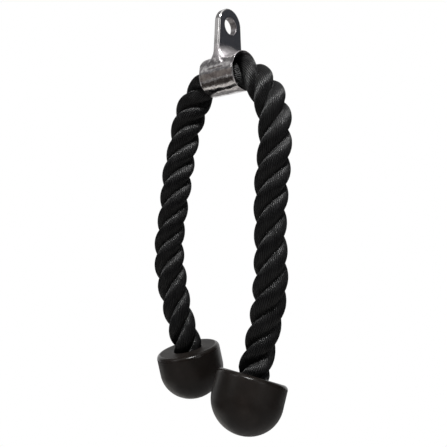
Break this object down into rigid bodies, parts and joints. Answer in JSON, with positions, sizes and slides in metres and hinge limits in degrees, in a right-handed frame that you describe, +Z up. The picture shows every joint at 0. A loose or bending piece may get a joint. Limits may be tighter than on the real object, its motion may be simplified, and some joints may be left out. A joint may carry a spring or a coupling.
{
  "type": "triceps rope attachment",
  "caption": "Cable machine rope handle: a chromed eye collar carries one thick black twisted rope that hangs down as a pair of legs, each ending in a domed rubber stop.",
  "frame": {"origin": "The middle of the eye hole in the collar's tab, where the cable's snap hook holds the attachment.", "axes": "X runs along the eye hole and along the collar's bore, the right leg is at +X, +Z is up from the collar to the eye, and Y is across the tab's width."},
  "size_m": [0.1554, 0.0834, 0.3853],
  "materials": {
    "polished_chrome": "polished",
    "black_rope": "matte",
    "black_rubber": "satin",
    "crimped_aluminium": "satin"
  },
  "bodies": {
    "collar": {"eye_collar": "polished_chrome", "rope_crown": "black_rope"},
    "left_upper_leg": {"rope_left_upper": "black_rope"},
    "left_lower_leg": {"rope_left_lower": "black_rope", "rubber_end_left": "black_rubber", "crimp_ferrule_left": "crimped_aluminium"},
    "right_upper_leg": {"rope_right_upper": "black_rope"},
    "right_lower_leg": {"rope_right_lower": "black_rope", "rubber_end_right": "black_rubber", "crimp_ferrule_right": "crimped_aluminium"}
  },
  "joints": [
    {"name": "left_leg_spread", "type": "hinge", "parent": "collar", "child": "left_upper_leg", "pos_m": [-0.04172, -0.00058, -0.06382], "axis": [0, 1, 0], "range_deg": [-2, 50], "stiffness_Nm_per_rad": 2, "springref_deg": 0.45},
    {"name": "left_leg_bend", "type": "hinge", "parent": "left_upper_leg", "child": "left_lower_leg", "pos_m": [-0.06677, -0.01429, -0.2167], "axis": [1, 0, 0], "range_deg": [-35, 35], "stiffness_Nm_per_rad": 2, "springref_deg": 0.54},
    {"name": "right_leg_spread", "type": "hinge", "parent": "collar", "child": "right_upper_leg", "pos_m": [0.04174, -0.0002, -0.06299], "axis": [0, -1, 0], "range_deg": [-2, 50], "stiffness_Nm_per_rad": 2, "springref_deg": 0.1},
    {"name": "right_leg_bend", "type": "hinge", "parent": "right_upper_leg", "child": "right_lower_leg", "pos_m": [0.05524, -0.00609, -0.21621], "axis": [1, 0, 0], "range_deg": [-35, 35], "stiffness_Nm_per_rad": 2, "springref_deg": -0.56}
  ]
}
